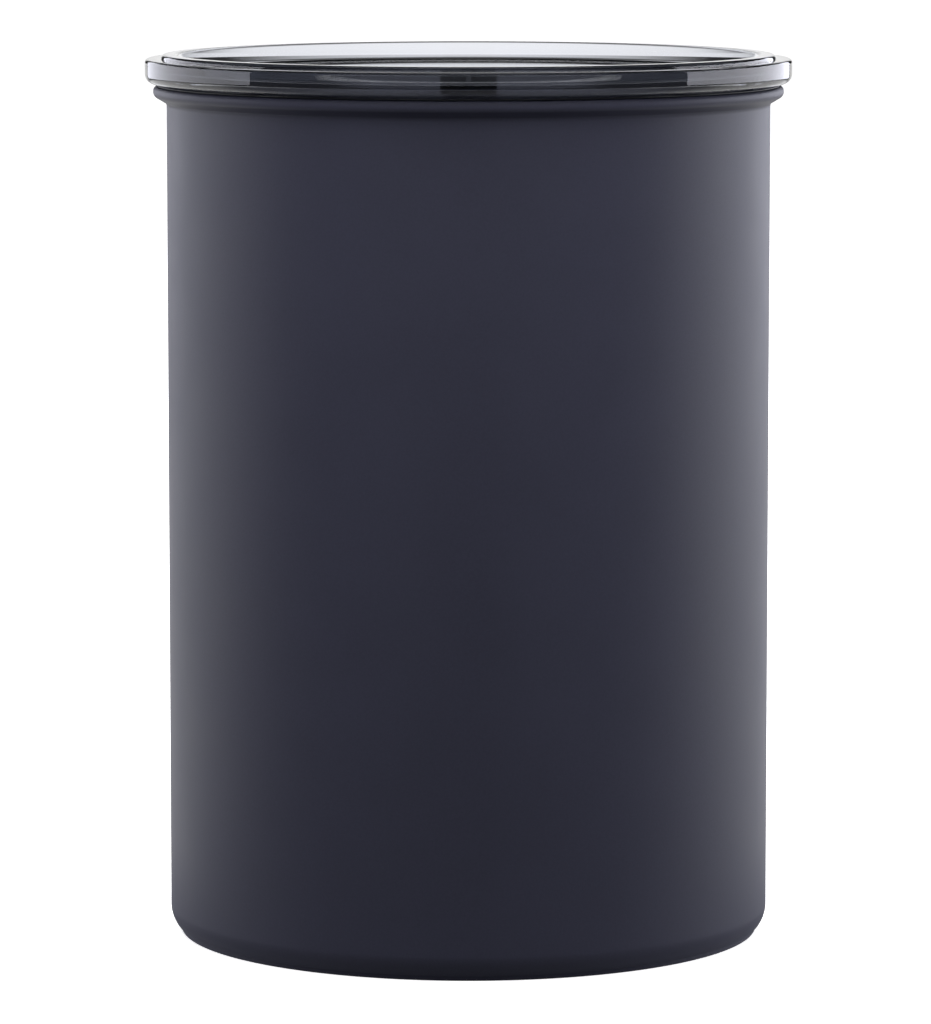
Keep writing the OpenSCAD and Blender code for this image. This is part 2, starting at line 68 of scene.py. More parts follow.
# Steps round a turned surface, and sides and steps per turn of a wire
ROUND_STEPS = 448
WIRE_SIDES = 12
COIL_STEPS = 44

# Extra rings lie this far from the ends of a straight, and edges past this angle stay sharp
EDGE_INSET = 0.15 * MM
SHARP_ANGLE = math.radians(28)

# Points nearer than this, in metres, are one point
TINY = 1e-7

# Lamps shine through the lid's panel inside this radius
PANE_R = 56 * MM

WHITE = (1.0, 1.0, 1.0)
BLACK = (0.0, 0.0, 0.0)

SHELL_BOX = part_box("canister_shell")
PAN_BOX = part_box("base_pan")
LID_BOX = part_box("outer_lid")
SPRING_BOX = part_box("valve_spring")


def length(name, text, default, least, most):
    """A size in metres."""
    return bpy.props.FloatProperty(
        name=name, description=text, default=default, min=least, max=most,
        precision=5, unit="LENGTH", subtype="DISTANCE",
    )


def angle(name, text, degrees, least, most):
    """An angle, given in degrees."""
    return bpy.props.FloatProperty(
        name=name, description=text, default=math.radians(degrees),
        min=math.radians(least), max=math.radians(most), unit="ROTATION", subtype="ANGLE",
    )


def colour(name, text, default):
    """A linear colour."""
    return bpy.props.FloatVectorProperty(
        name=name, description=text, default=default, size=3, min=0, max=1, subtype="COLOR",
    )


def number(name, text, default, least, most):
    """A plain number."""
    return bpy.props.FloatProperty(
        name=name, description=text, default=default, min=least, max=most, precision=4,
    )


class ShellSizes(bpy.types.PropertyGroup):
    """Sizes of the steel canister and its base."""

    wall_r: length("Wall radius", "Radius of the straight wall, outside", 61.0 * MM, 0.04, 0.1)
    steel_t: length("Steel", "Thickness of the steel", 0.8 * MM, 0.0004, 0.002)
    lip_r: length("Lip radius", "Radius of the rolled lip, outside", SHELL_BOX[1].x, 0.04, 0.12)
    top_z: length("Height", "Height of the lip's top", SHELL_BOX[1].z, 0.1, 0.3)
    lip_face: length("Lip face", "Height of the lip's upright face", 1.1 * MM, 0.0005, 0.003)
    lip_under: length("Lip rounding", "Radius under the lip's face", 1.3 * MM, 0.0005, 0.003)
    lip_slope: angle("Lip slope", "Slope under the lip, from level", 30, 15, 50)
    corner_r: length("Corner", "Radius where the wall turns in at the base", 6 * MM, 0.002, 0.01)
    corner_z: length("Corner height", "Height where the wall turns in", 5.2 * MM, 0.002, 0.01)
    foot_r: length("Foot radius", "Radius of the foot ring", PAN_BOX[1].x, 0.04, 0.1)
    foot_in: length("Foot inside", "Inner radius of the foot ring", 54.5 * MM, 0.03, 0.1)
    foot_h: length("Foot height", "Height of the foot ring", 1.0 * MM, 0.0005, 0.003)
    panel_z: length("Base panel", "Height of the panel's top", PAN_BOX[1].z, 0.001, 0.005)


class LidSizes(bpy.types.PropertyGroup):
    """Sizes of the clear outer lid and its seal."""

    rim_r: length("Rim radius", "Radius of the rim", LID_BOX[1].x, 0.04, 0.12)
    crest_z: length("Crest", "Height of the crest's top", LID_BOX[1].z, 0.1, 0.3)
    plug_z: length("Plug", "Height of the plug's lower end", LID_BOX[0].z, 0.1, 0.3)
    rim_z: length("Underside", "Height of the rim's underside", 172.4 * MM, 0.1, 0.3)
    ledge_h: length("Ledge", "Depth of the ledge below the crest", 0.9 * MM, 0.0003, 0.003)
    ledge_w: length("Ledge width", "Width of the outer ledge", 3.3 * MM, 0.001, 0.006)
    ledge_round: length("Ledge edge", "Radius of the ledge's edge", 0.7 * MM, 0.0002, 0.002)
    under_round: length("Lower edge", "Radius of the rim's lower edge", 1.9 * MM, 0.0005, 0.003)
    under_h: length("Lower edge height", "Height of that edge's centre", 2.4 * MM, 0.001, 0.004)
    under_slope: angle("Underside slope", "Slope of the underside's outer part", 20, 10, 40)
    crest_round: length("Crest edge", "Radius of the crest's outer edge", 0.8 * MM, 0.0002, 0.0009)
    crest_w: length("Crest width", "Width from the crest's side to its fall", 2.6 * MM, 0.001, 0.005)
    fall_round: length("Fall", "Radius where the crest falls inwards", 1.2 * MM, 0.0005, 0.003)
    side_lean: angle("Side", "Lean of the recess's side from upright", 35, 10, 45)
    foot_round: length("Recess foot", "Radius where the side meets the floor", 2.0 * MM, 0.0005, 0.003)
    recess: length("Recess", "Depth of the recess below the crest", 3.9 * MM, 0.002, 0.006)
    panel_t: length("Panel", "Thickness of the clear panel", 2.2 * MM, 0.001, 0.004)
    plug_r: length("Plug radius", "Radius of the plug", 59.4 * MM, 0.04, 0.1)
    plug_t: length("Plug wall", "Thickness of the plug's wall", 2.2 * MM, 0.001, 0.004)
    groove_d: length("Groove", "Depth of the plug's groove", 1.0 * MM, 0.0003, 0.002)
    plug_foot: length("Plug foot", "Height of the plug's foot", 0.8 * MM, 0.0003, 0.002)
    flange_w: length("Flange", "Width of the seal's flange", 3.6 * MM, 0.001, 0.005)
    flange_t: length("Flange thickness", "Thickness of the seal's flange", 2.2 * MM, 0.0005, 0.003)
    seal_fit: length("Seal fit", "Gap round the seal", 0.05 * MM, 0, 0.0002)
    bead_r: length("Beads", "Radius of the seal's beads", 0.55 * MM, 0.0002, 0.001)
    bead_out: length("Bead reach", "Radius that the beads reach", 60.1 * MM, 0.04, 0.1)


class SpringSizes(bpy.types.PropertyGroup):
    """Sizes of the valve's spring."""

    wire_r: length("Wire", "Radius of the wire", 0.4 * MM, 0.0001, 0.002)
    coil_r: length("Coil", "Radius of the coil", 4.6 * MM, 0.001, 0.01)
    turns: number("Turns", "Number of turns", 5, 2, 12)
    open_share: number("Pushed", "Share of its length while the valve is open", 6.2 / 8.8, 0.3, 1)


class Finishes(bpy.types.PropertyGroup):
    """Colours of the finishes."""

    coat: colour("Coat", "Powder coat outside", (0.030, 0.0305, 0.049))
    steel: colour("Steel", "Brushed steel inside", (0.56, 0.57, 0.58))
    smoke: colour("Smoke", "Colour that the clear plastic leaves", (0.30, 0.345, 0.49))
    smoke_density: number("Smoke density", "Absorption per metre of plastic", 38, 0, 400)
    seal: colour("Seal", "Outer lid's silicone", (0.012, 0.012, 0.014))
    clear_seal: colour("Valve seal", "Valve's silicone", (0.62, 0.64, 0.65))
    plastic: colour("Plastic", "Inner lid's plastic", (0.058, 0.0585, 0.062))
    handle: colour("Handle", "Handle's plastic", (0.085, 0.086, 0.090))
    wiper: colour("Wiper", "Inner lid's silicone", (0.17, 0.175, 0.18))
    screw: colour("Screws", "Turned steel", (0.62, 0.62, 0.63))
    spring: colour("Spring", "Drawn wire", (0.55, 0.55, 0.56))


class Studio(bpy.types.PropertyGroup):
    """Lamps, surroundings and floor."""

    left_power: number("Left lamp", "Power of the left softbox in watts", 11.5, 0, 500)
    right_power: number("Right lamp", "Power of the right softbox in watts", 16.5, 0, 500)
    sheen: number("Sheen", "Softboxes as reflections see them, as a share of the power", 0.82, 0, 2)
    over_power: number("Overhead lamp", "Power of the overhead panel in watts", 1.0, 0, 500)
    top_power: number("Top lamp", "Power of the top softbox in watts", 55, 0, 500)
    zenith: number("Zenith", "Cloth overhead, as reflections and clear parts see it", 0.6, 0, 4)
    ambient: number("Ambient", "Plain light from all round", 0.08, 0, 2)
    lamp: colour("Lamps", "Colour of the two side lamps", (0.895, 0.905, 1.0))
    front: colour("Front", "Cloth in front, as reflections see it", (0.72, 0.76, 1.0))
    floor: colour("Floor", "Pale floor", (0.9, 0.9, 0.9))
    # The floor's bounce is a painted shade: to the object the floor is darker than to the camera
    floor_bounce: colour("Floor's bounce", "Floor as the object sees it", (0.12, 0.12, 0.12))


def arc(centre_r, centre_z, radius, start, end, steps):
    """Points round a circle: (r, z) = centre + radius * (cos, sin), from start to end degrees."""
    turn = np.radians(np.linspace(start, end, steps + 1))
    return np.stack([centre_r + radius * np.cos(turn), centre_z + radius * np.sin(turn)], 1)


def outline(*parts):
    """Joins points and arcs into one profile and leaves out the points that repeat."""
    line = np.concatenate([np.atleast_2d(np.asarray(part, float)) for part in parts])
    fresh = np.linalg.norm(np.diff(line, axis=0), axis=1) > TINY
    return line[np.concatenate([[True], fresh])]


def held(line):
    """Adds a point near both ends of each long straight, so that its shading stays flat."""
    step = np.diff(line, axis=0)
    size = np.linalg.norm(step, axis=1)
    share = (EDGE_INSET / size)[:, None]
    near = line[:-1] + step * share
    far = line[:-1] + step * (1 - share)
    long = size > 4 * EDGE_INSET
    every = np.ones_like(long)
    points = np.stack([line[:-1], near, far], 1)[np.stack([every, long, long], 1)]
    return np.concatenate([points, line[-1:]])


def mesh_from(name, points, quads, triangles, paint):
    """A mesh from whole arrays: points (n, 3), quads (q, 4), triangles (t, 3) and each face's paint."""
    corners = np.concatenate([quads.ravel(), triangles.ravel()])
    sizes = np.concatenate([np.full(len(quads), 4), np.full(len(triangles), 3)])
    mesh = bpy.data.meshes.new(name)
    mesh.vertices.add(len(points))
    mesh.loops.add(len(corners))
    mesh.polygons.add(len(sizes))
    mesh.vertices.foreach_set("co", points.astype(np.float32).ravel())
    mesh.loops.foreach_set("vertex_index", corners.astype(np.int32))
    mesh.polygons.foreach_set("loop_start", (np.cumsum(sizes) - sizes).astype(np.int32))
    mesh.polygons.foreach_set("material_index", paint.astype(np.int32))
    mesh.polygons.foreach_set("use_smooth", np.ones(len(sizes), bool))
    mesh.update(calc_edges=True)
    if mesh.validate():
        raise RuntimeError(f"{name}: the surface had faces that Blender mended")
    mesh.set_sharp_from_angle(angle=SHARP_ANGLE)
    return mesh


def turned(name, line, closed=False, paint=None):
    """A surface of revolution: (r cos a, r sin a, z) for each profile point and angle a.

    The profile runs anticlockwise round its section, so that faces look outwards. It starts
    and ends on the axis, or is closed. A point on the axis is one vertex, shared by triangles.
    """
    if closed:
        line = np.concatenate([line, line[:1]])
    line = held(line)
    if closed:
        line = line[:-1]
    count = len(line)
    steps = ROUND_STEPS
    pole = line[:, 0] < TINY
    turn = np.arange(steps) * TURN / steps
    ring = np.stack([
        np.outer(np.cos(turn), line[:, 0]),
        np.outer(np.sin(turn), line[:, 0]),
        np.broadcast_to(line[:, 1], (steps, count)),
    ], -1)
    index = np.arange(steps * count).reshape(steps, count)
    index[:, pole] = index[0, pole]
    used, fresh = np.unique(index, return_inverse=True)
    index = fresh.reshape(steps, count)
    near = np.arange(count if closed else count - 1)
    far = (near + 1) % count
    after = np.roll(index, -1, axis=0)
    faces = np.stack([index[:, near], after[:, near], after[:, far], index[:, far]], -1)
    middle = (line[near] + line[far]) / 2
    shade = np.zeros(len(near), int) if paint is None else paint(middle[:, 0], middle[:, 1])
    shades = np.broadcast_to(shade, (steps, len(near)))
    start = pole[near]
    end = pole[far]
    plain = ~(start | end)
    quads = faces[:, plain].reshape(-1, 4)
    rising = faces[:, start][..., [0, 2, 3]].reshape(-1, 3)
    falling = faces[:, end][..., [0, 1, 2]].reshape(-1, 3)
    colours = [shades[:, plain].ravel(), shades[:, start].ravel(), shades[:, end].ravel()]
    points = ring.reshape(-1, 3)[used]
    return mesh_from(name, points, quads, np.concatenate([rising, falling]), np.concatenate(colours))


def swept(name, path, radius):
    """A round wire along a path: path + width * (cos b side + sin b up), with its ends domed.

    side and up are square to the path, and side stays level. width is the wire's radius, and
    over the domes it falls with the cosine of the angle from the path's end.
    """
    step = np.gradient(path, axis=0)
    along = step / np.linalg.norm(step, axis=1)[:, None]
    side = np.cross(along, [0.0, 0.0, 1.0])
    side = side / np.linalg.norm(side, axis=1)[:, None]
    up = np.cross(along, side)
    dome = np.radians([22.5, 45, 67.5])
    rings = len(dome)
    first = path[0] - np.outer(np.sin(dome)[::-1], along[0]) * radius
    last = path[-1] + np.outer(np.sin(dome), along[-1]) * radius
    spine = np.concatenate([first, path, last])
    width = np.concatenate([np.cos(dome)[::-1], np.ones(len(path)), np.cos(dome)]) * radius
    turn = np.arange(WIRE_SIDES) * TURN / WIRE_SIDES

    def spoke(direction, share):
        """One direction's part of every ring, carried on over both domes."""
        ends = np.concatenate([
            np.repeat(direction[:1], rings, 0), direction, np.repeat(direction[-1:], rings, 0),
        ])
        return width[:, None, None] * share[None, :, None] * ends[:, None]

    skin = spine[:, None] + spoke(side, np.cos(turn)) + spoke(up, np.sin(turn))
    count = len(spine) * WIRE_SIDES
    index = np.arange(count).reshape(-1, WIRE_SIDES)
    after = np.roll(index, -1, axis=1)
    quads = np.stack([index[:-1], after[:-1], after[1:], index[1:]], -1).reshape(-1, 4)
    tips = np.stack([path[0] - along[0] * radius, path[-1] + along[-1] * radius])
    start = np.stack([np.full(WIRE_SIDES, count), after[0], index[0]], -1)
    end = np.stack([np.full(WIRE_SIDES, count + 1), index[-1], after[-1]], -1)
    points = np.concatenate([skin.reshape(-1, 3), tips])
    triangles = np.concatenate([start, end])
    return mesh_from(name, points, quads, triangles, np.zeros(len(quads) + len(triangles), int))


def linked(name, data):
    """A new object in the scene."""
    made = bpy.data.objects.new(name, data)
    bpy.context.scene.collection.objects.link(made)
    return made


def placed(mesh, body, finishes, node):
    """Puts a finished mesh in the scene: it rides on a body and stands for a CAD node."""
    piece = linked(mesh.name, mesh)
    for finish in finishes:
        mesh.materials.append(finish)
    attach(piece, body)
    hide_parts(node)
    return piece


def dressed(node, finish):
    """Gives a CAD node's own mesh a finish."""
    piece = CAD_NODES[node]
    if not piece.material_slots:
        piece.data.materials.append(finish)
    for place in piece.material_slots:
        place.material = finish


class Wire:
    """A shader socket that takes part in Python sums."""

    def __init__(self, tree, socket):
        self.tree = tree
        self.socket = socket

    def _math(self, kind, first, second=0.0):
        return self.tree.add("ShaderNodeMath", {"operation": kind}, {0: first, 1: second})

    def __add__(self, other):
        return self._math("ADD", self, other)

    def __radd__(self, other):
        return self._math("ADD", other, self)

    def __sub__(self, other):
        return self._math("SUBTRACT", self, other)

    def __rsub__(self, other):
        return self._math("SUBTRACT", other, self)

    def __mul__(self, other):
        return self._math("MULTIPLY", self, other)

    def __rmul__(self, other):
        return self._math("MULTIPLY", other, self)

    def __pow__(self, other):
        return self._math("POWER", self, other)

    def __lt__(self, other):
        return self._math("LESS_THAN", self, other)

    def __abs__(self):
        return self._math("ABSOLUTE", self)

    def most(self, other):
        """The larger of two values."""
        return self._math("MAXIMUM", self, other)

    def bearing(self, ahead):
        """Angle of the point (ahead, self) from the ahead axis."""
        return self._math("ARCTAN2", self, ahead)

    def rise(self):
        """Angle above the level of a unit vector whose height is self."""
        return self._math("ARCSINE", self)


class Tree:
    """Builds the nodes of one material or world."""

    def __init__(self, owner):
        owner.use_nodes = True
        self.nodes = owner.node_tree.nodes
        self.links = owner.node_tree.links

    def join(self, source, socket):
        """Links a wire to a socket, or writes a plain value on it."""
        if isinstance(source, Wire):
            self.links.new(source.socket, socket)
        elif isinstance(source, tuple) and socket.type == "RGBA":
            socket.default_value = (*source, 1)
        else:
            socket.default_value = source

    def add(self, kind, settings=None, inputs=None, out=0):
        """Adds a node: its settings come first, then its sockets. Returns one of its outputs."""
        node = self.nodes.new(kind)
        for key, value in (settings or {}).items():
            setattr(node, key, value)
        for key, value in (inputs or {}).items():
            self.join(value, node.inputs[key])
        return Wire(self, node.outputs[out])

    def place(self):
        """The point on the object, in metres."""
        return self.add("ShaderNodeTexCoord", out="Object")

    def parts(self, vector):
        """A vector's x, y and z."""
        node = self.nodes.new("ShaderNodeSeparateXYZ")
        self.join(vector, node.inputs[0])
        return [Wire(self, socket) for socket in node.outputs]

    def ray(self, kind):
        """1 for rays of one kind: Camera, Glossy, Transmission or Shadow."""
        return self.add("ShaderNodeLightPath", out=f"Is {kind} Ray")

    def noise(self, vector, scale, detail, roughness):
        """Noise from 0 to 1, with scale grains to the metre."""
        return self.add(
            "ShaderNodeTexNoise", {},
            {"Vector": vector, "Scale": scale, "Detail": detail, "Roughness": roughness},
            out="Fac",
        )

    def mix(self, factor, first, second):
        """A colour between two colours."""
        node = self.nodes.new("ShaderNodeMix")
        node.data_type = "RGBA"
        self.join(factor, node.inputs["Factor"])
        self.join(first, node.inputs["A"])
        self.join(second, node.inputs["B"])
        return Wire(self, node.outputs["Result"])

    def spread(self, value, low, high, to_low=0.0, to_high=1.0):
        """Maps low..high smoothly to to_low..to_high, held at both ends."""
        return self.add(
            "ShaderNodeMapRange", {"interpolation_type": "SMOOTHSTEP"},
            {"Value": value, "From Min": low, "From Max": high, "To Min": to_low, "To Max": to_high},
        )

    def bump(self, height, distance, strength):
        """A normal that follows the given height."""
        return self.add(
            "ShaderNodeBump", {}, {"Height": height, "Distance": distance, "Strength": strength},
            out="Normal",
        )

    def surface(self, **values):
        """Sets the Principled shader's sockets, whose blanks are underscores here."""
        shader = self.nodes["Principled BSDF"]
        for key, value in values.items():
            self.join(value, shader.inputs[key.replace("_", " ")])
        return Wire(self, shader.outputs["BSDF"])

    def finish(self, shader, socket="Surface"):
        """Links a shader to the material's output."""
        self.join(shader, self.nodes["Material Output"].inputs[socket])

    def either(self, factor, first, second):
        """The first shader where the factor is 0 and the second where it is 1."""
        return self.add("ShaderNodeMixShader", {}, {0: factor, 1: first, 2: second})


def material(name):
    """A new material and its tree."""
    made = bpy.data.materials.new(name)
    return made, Tree(made)


def tint(shade, factor):
    """A colour made lighter or darker."""
    return tuple(min(1.0, part * factor) for part in shade)


def powder_coat(name, shade):
    """Matt powder coat: fine orange peel, faint mottling, slightly uneven gloss."""
    made, tree = material(name)
    place = tree.place()
    grain = tree.noise(place, 2600, 3, 0.6)
    mottle = tree.noise(place, 60, 3, 0.55)
    peel = tree.noise(place, 700, 2, 0.5)
    blend = tree.spread(grain * 0.7 + mottle * 0.3, 0.3, 0.7)
    tree.surface(
        Base_Color=tree.mix(blend, tint(shade, 0.9), tint(shade, 1.1)),
        Roughness=0.43 + 0.08 * mottle + 0.04 * grain,
        Normal=tree.bump(peel * 0.6 + grain * 0.4, 0.012 * MM, 0.6),
        IOR=1.5,
        Specular_IOR_Level=0.3,
    )
    return made


def brushed_steel(name, shade):
    """Brushed steel: fine lines round the axis, from noise that is stretched along the turn."""
    made, tree = material(name)
    place = tree.place()
    x, y, z = tree.parts(place)
    radius = (x * x + y * y) ** 0.5
    across = 9000
    along = 14
    line = tree.add("ShaderNodeCombineXYZ", {}, {
        0: radius * across, 1: y.bearing(x) * along, 2: z * across,
    })
    brush = tree.noise(line, 1.0, 3, 0.6)
    broad = tree.noise(place, 45, 2, 0.5)
    tree.surface(
        Base_Color=tree.mix(brush, tint(shade, 0.86), tint(shade, 1.1)),
        Roughness=0.24 + 0.12 * brush + 0.06 * broad,
        Metallic=0.72 + 0.06 * broad,
        Normal=tree.bump(brush, 0.004 * MM, 0.5),
    )
    return made


def smoke_plastic(name, settings):
    """Clear smoked plastic: near-white at its face, darkened by the depth that light crosses.

    Lamps shine through the panel, though not through the rim.
    """
    made, tree = material(name)
    place = tree.place()
    ripple = tree.noise(place, 55, 1, 0.4)
    haze = tree.noise(place, 900, 2, 0.5)
    dull = (0.965, 0.975, 0.985)
    clean = (0.985, 0.985, 0.99)
    through_pane = (0.88, 0.9, 0.93)
    plastic = tree.surface(
        Base_Color=tree.mix(haze, dull, clean),
        Roughness=0.012 + 0.014 * haze,
        Transmission_Weight=1.0,
        IOR=1.5,
        Normal=tree.bump(ripple, 0.0012 * MM, 0.5),
    )
    x, y, _ = tree.parts(place)
    pane = x * x + y * y < PANE_R ** 2
    lamplight = tree.add("ShaderNodeBsdfTransparent", {}, {"Color": through_pane})
    tree.finish(tree.either(tree.ray("Shadow") * pane, plastic, lamplight))
    smoke = tree.add("ShaderNodeVolumeAbsorption", {}, {
        "Color": tuple(settings.smoke), "Density": settings.smoke_density,
    })
    tree.finish(smoke, "Volume")
    return made


def silicone(name, shade, rough, clear=0.0):
    """Silicone: a soft sheen with dust-fine grain and slow variation in tone."""
    made, tree = material(name)
    place = tree.place()
    grain = tree.noise(place, 3200, 2, 0.6)
    slow = tree.noise(place, 120, 2, 0.5)
    tree.surface(
        Base_Color=tree.mix(slow, tint(shade, 0.88), tint(shade, 1.14)),
        Roughness=rough + 0.1 * grain,
        Normal=tree.bump(grain, 0.006 * MM, 0.5),
        IOR=1.42,
        Transmission_Weight=clear,
    )
    return made


def moulded(name, shade, rough, grain_size, depth):
    """Moulded plastic with a spark-eroded grain: rounded cells under fine noise."""
    made, tree = material(name)
    place = tree.place()
    cells = tree.add(
        "ShaderNodeTexVoronoi", {"feature": "SMOOTH_F1"},
        {"Vector": place, "Scale": 1 / grain_size, "Smoothness": 0.6}, out="Distance",
    )
    fine = tree.noise(place, 2.4 / grain_size, 2, 0.6)
    slow = tree.noise(place, 70, 3, 0.5)
    tree.surface(
        Base_Color=tree.mix(slow, tint(shade, 0.9), tint(shade, 1.12)),
        Roughness=rough + 0.1 * fine + 0.05 * slow,
        Normal=tree.bump(cells * 0.65 + fine * 0.35, depth, 0.7),
        IOR=1.5,
    )
    return made


def drawn_wire(name, shade):
    """Drawn wire: fine lines along it and a bright, slightly worn tone."""
    made, tree = material(name)
    place = tree.place()
    lines = tree.noise(place, 5200, 3, 0.6)
    slow = tree.noise(place, 260, 2, 0.5)
    tree.surface(
        Base_Color=tree.mix(lines, tint(shade, 0.82), tint(shade, 1.12)),
        Roughness=0.2 + 0.12 * slow,
        Metallic=1.0,
        Normal=tree.bump(lines, 0.003 * MM, 0.5),
    )
    return made


class Build(bpy.types.Operator):
    """Shared ground of the build operators."""

    bl_options = {"REGISTER", "UNDO"}


class CANISTER_OT_shell(Build):
    """Steel wall with its rolled lip, coated outside and brushed inside"""

    bl_idname = "canister.shell"
    bl_label = "Canister shell"

    def execute(self, context):
        size = context.scene.canister_shell_sizes
        bore = size.wall_r - size.steel_t
        lip_z = size.top_z - size.lip_face
        lip_c = size.lip_r - size.lip_under
        slope = size.lip_slope
        meet_r = lip_c + size.lip_under * math.sin(slope)
        meet_z = lip_z - size.lip_under * math.cos(slope)
        root_z = meet_z - (meet_r - size.wall_r) * math.tan(slope)
        centre_r = size.wall_r - size.corner_r
        cut = math.degrees(math.asin((size.corner_z - size.foot_h) / size.corner_r))
        inner_r = size.corner_r - size.steel_t
        inner_cut = math.degrees(math.asin((size.corner_z - size.foot_h) / inner_r))
        edge = 0.8 * MM
        mouth = 0.4 * MM
        root = 0.5 * MM
        line = outline(
            arc(centre_r, size.corner_z, size.corner_r, -cut, 0, 20),
            # The slope under the lip runs softly into the wall
            (size.wall_r, root_z - root),
            (size.wall_r + root * 0.1, root_z - root * 0.35),
            (size.wall_r + root * 0.45, root_z + root * 0.2),
            arc(lip_c, lip_z, size.lip_under, -90 + math.degrees(slope), 0, 12),
            arc(size.lip_r - edge, size.top_z - edge, edge, 0, 90, 6),
            arc(bore + mouth, size.top_z - mouth, mouth, 90, 180, 8),
            arc(centre_r, size.corner_z, inner_r, 0, -inner_cut, 16),
        )
        reach = inner_r + mouth * 0.5

        def paint(r, z):
            """1 inside the steel, and 0 on the coated outside."""
            below = np.minimum(z - size.corner_z, 0)
            return np.where(np.hypot(r - centre_r, below) < reach, 1, 0)

        colours = context.scene.canister_finishes
        outside = powder_coat("charcoal_coat", tuple(colours.coat))
        inside = brushed_steel("inner_steel", tuple(colours.steel))
        wall = turned("steel_wall", line, True, paint)
        placed(wall, "canister", [outside, inside], "canister_shell")
        return {"FINISHED"}


class CANISTER_OT_base(Build):
    """Pressed base with its foot ring and raised panel"""

    bl_idname = "canister.base"
    bl_label = "Base"

    def execute(self, context):
        size = context.scene.canister_shell_sizes
        edge = 0.3 * MM
        soft = 0.4 * MM
        riser = 1.0 * MM
        low = size.panel_z - size.steel_t
        line = outline(
            (0, low),
            (size.foot_in - riser - soft, low),
            arc(size.foot_in - riser - soft, low - soft, soft, 90, 0, 5),
            arc(size.foot_in - riser + edge, edge, edge, 180, 270, 5),
            arc(size.foot_r - edge, edge, edge, -90, 0, 6),
            (size.foot_r, size.foot_h),
            (size.foot_in, size.foot_h),
            arc(size.foot_in - soft, size.panel_z - soft, soft, 0, 90, 5),
            (0, size.panel_z),
        )
        coat = powder_coat("base_coat", tuple(context.scene.canister_finishes.coat))
        placed(turned("base_foot", line), "canister", [coat], "base_pan")
        return {"FINISHED"}


class CANISTER_OT_outer_lid(Build):
    """Clear smoked lid: thick rim, crest, dished recess and plug"""

    bl_idname = "canister.outer_lid"
    bl_label = "Outer lid"

    def execute(self, context):
        size = context.scene.canister_lid_sizes
        ledge_z = size.crest_z - size.ledge_h
        crest_r = size.rim_r - size.ledge_w
        side_c = crest_r - size.crest_round
        fall_r = crest_r - size.crest_w
        floor_z = size.crest_z - size.recess
        panel_z = floor_z - size.panel_t
        lean = size.side_lean
        drop = (size.fall_round + size.foot_round) * (1 - math.sin(lean))
        side = (size.recess - drop) / math.cos(lean)
        side_r = fall_r - size.fall_round * math.cos(lean) - side * math.sin(lean)
        foot_c = side_r - size.foot_round * math.cos(lean)
        under_c = (size.rim_r - size.under_round, size.rim_z + size.under_h)
        plug_in = size.plug_r - size.plug_t
        groove_r = size.plug_r - size.groove_d
        groove_z = size.plug_z + size.plug_foot
        flange_r = size.plug_r + size.flange_w
        flange_z = size.rim_z + size.flange_t
        slope = size.under_slope
        meet_r = under_c[0] + size.under_round * math.sin(slope)
        meet_z = under_c[1] - size.under_round * math.cos(slope)
        lip_z = meet_z - (meet_r - flange_r) * math.tan(slope)
        soft = 0.25 * MM
        tilt = math.degrees(slope)
        lean_turn = math.degrees(lean)
        line = outline(
            (0, panel_z),
            (plug_in - soft, panel_z),
            arc(plug_in - soft, panel_z - soft, soft, 90, 0, 4),
            arc(plug_in + soft, size.plug_z + soft, soft, 180, 270, 4),
            arc(size.plug_r - soft, size.plug_z + soft, soft, -90, 0, 4),
            (size.plug_r, groove_z),
            (groove_r, groove_z),
            (groove_r, flange_z),
            (flange_r, flange_z),
            (flange_r, lip_z),
            arc(*under_c, size.under_round, -90 + tilt, 0, 18),
            arc(size.rim_r - size.ledge_round, ledge_z - size.ledge_round, size.ledge_round, 0, 90, 10),
            (crest_r, ledge_z),
            arc(side_c, size.crest_z - size.crest_round, size.crest_round, 0, 90, 12),
            arc(fall_r, size.crest_z - size.fall_round, size.fall_round, 90, 180 - lean_turn, 14),
            arc(foot_c, floor_z + size.foot_round, size.foot_round, -lean_turn, -90, 16),
            (0, floor_z),
        )
        smoke = smoke_plastic("smoke_plastic", context.scene.canister_finishes)
        placed(turned("clear_lid", line), "outer_lid", [smoke], "outer_lid")
        return {"FINISHED"}


class CANISTER_OT_lid_seal(Build):
    """Dark silicone seal: a sleeve on the plug, two beads and a flange under the rim"""

    bl_idname = "canister.lid_seal"
    bl_label = "Lid seal"

    def execute(self, context):
        size = context.scene.canister_lid_sizes
        shell = context.scene.canister_shell_sizes
        fit = size.seal_fit
        inner = size.plug_r - size.groove_d + fit
        low = size.plug_z + size.plug_foot + fit
        top = size.rim_z + size.flange_t - fit
        out = size.plug_r + size.flange_w - fit
        bead_c = size.bead_out - size.bead_r
        wide = math.degrees(math.acos((size.plug_r - bead_c) / size.bead_r))
        low_bead = size.plug_z + size.plug_foot + 1.2 * MM
        high_bead = shell.top_z - 1.6 * MM
        soft = 0.15 * MM
        line = outline(
            (inner, low),
            (size.plug_r - soft, low),
            arc(size.plug_r - soft, low + soft, soft, -90, 0, 4),
            arc(bead_c, low_bead, size.bead_r, -wide, wide, 16),
            arc(bead_c, high_bead, size.bead_r, -wide, wide, 16),
            (size.plug_r, size.rim_z),
            arc(out - soft, size.rim_z + soft, soft, -90, 0, 4),
            (out, top),
            (inner, top),
        )
        rubber = silicone("seal_silicone", tuple(context.scene.canister_finishes.seal), 0.36)
        seal = turned("lid_seal", line, True)
        placed(seal, "outer_lid", [rubber], "outer_lid_gasket")
        return {"FINISHED"}


